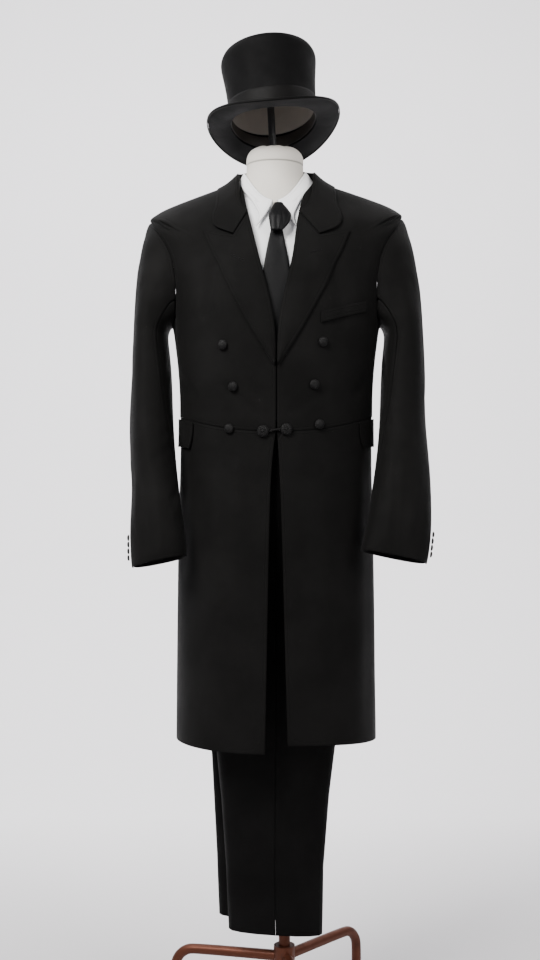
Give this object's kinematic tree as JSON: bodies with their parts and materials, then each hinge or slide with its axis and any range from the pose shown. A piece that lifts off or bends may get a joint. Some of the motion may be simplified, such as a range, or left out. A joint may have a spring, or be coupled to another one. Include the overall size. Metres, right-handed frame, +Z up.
{
  "type": "undertaker costume on limbless dress form",
  "caption": "Frock coat with peaked lapels, shirt, tie, trousers and top hat, worn by a limbless dress form on a three-legged stand.",
  "frame": {"origin": "bottom centre of the whole, on the floor under the stand", "axes": "+Z up, the costume's front faces -Y, the wearer's left is +X"},
  "size_m": [0.5846, 0.4007, 1.9293],
  "materials": {
    "coat_worsted": "fine matt black worsted",
    "trouser_worsted": "matt black worsted",
    "covered_button": "ribbed black cloth over a domed mould",
    "tie_satin": "black satin",
    "shirt_cotton": "pressed white cotton",
    "form_jersey": "ivory knitted jersey",
    "hat_felt": "brushed black wool felt",
    "hat_grosgrain": "black ribbed ribbon",
    "hat_satin": "grey-beige satin lining",
    "hat_leather": "dark sweatband leather",
    "post_black": "satin black",
    "stand_lacquer": "copper-brown gloss lacquer"
  },
  "bodies": {
    "root": {"breast_welt": "coat_worsted", "button_left_middle": "covered_button", "button_left_top": "covered_button", "button_left_waist": "covered_button", "button_right_middle": "covered_button", "button_right_top": "covered_button", "button_right_waist": "covered_button", "coat_back_left": "coat_worsted", "coat_back_right": "coat_worsted", "coat_collar": "coat_worsted", "coat_forepart_left": "coat_worsted", "coat_forepart_right": "coat_worsted", "coat_side_body_left": "coat_worsted", "coat_side_body_right": "coat_worsted", "coat_skirt_left": "coat_worsted", "coat_skirt_right": "coat_worsted", "cuff_button_left_1": "covered_button", "cuff_button_left_2": "covered_button", "cuff_button_left_3": "covered_button", "cuff_button_left_4": "covered_button", "cuff_button_right_1": "covered_button", "cuff_button_right_2": "covered_button", "cuff_button_right_3": "covered_button", "cuff_button_right_4": "covered_button", "form_neck_cap": "form_jersey", "form_torso": "form_jersey", "hat_band": "hat_grosgrain", "hat_binding": "hat_grosgrain", "hat_brim": "hat_felt", "hat_crown": "hat_felt", "hat_lining": "hat_satin", "hat_post": "post_black", "hat_sweatband": "hat_leather", "lapel_left": "coat_worsted", "lapel_right": "coat_worsted", "link_button_left": "covered_button", "link_button_right": "covered_button", "link_cord": "covered_button", "pocket_flap_left": "coat_worsted", "pocket_flap_right": "coat_worsted", "shirt_back": "shirt_cotton", "shirt_collar": "shirt_cotton", "shirt_front_left": "shirt_cotton", "shirt_front_right": "shirt_cotton", "sleeve_top_left": "coat_worsted", "sleeve_top_right": "coat_worsted", "sleeve_under_left": "coat_worsted", "sleeve_under_right": "coat_worsted", "stand_base": "stand_lacquer", "stand_pole": "stand_lacquer", "tie_blade": "tie_satin", "tie_knot": "tie_satin", "trouser_back_left": "trouser_worsted", "trouser_back_right": "trouser_worsted", "trouser_front_left": "trouser_worsted", "trouser_front_right": "trouser_worsted", "trouser_waistband": "trouser_worsted", "waist_button_left": "covered_button", "waist_button_right": "covered_button"}
  },
  "joints": []
}
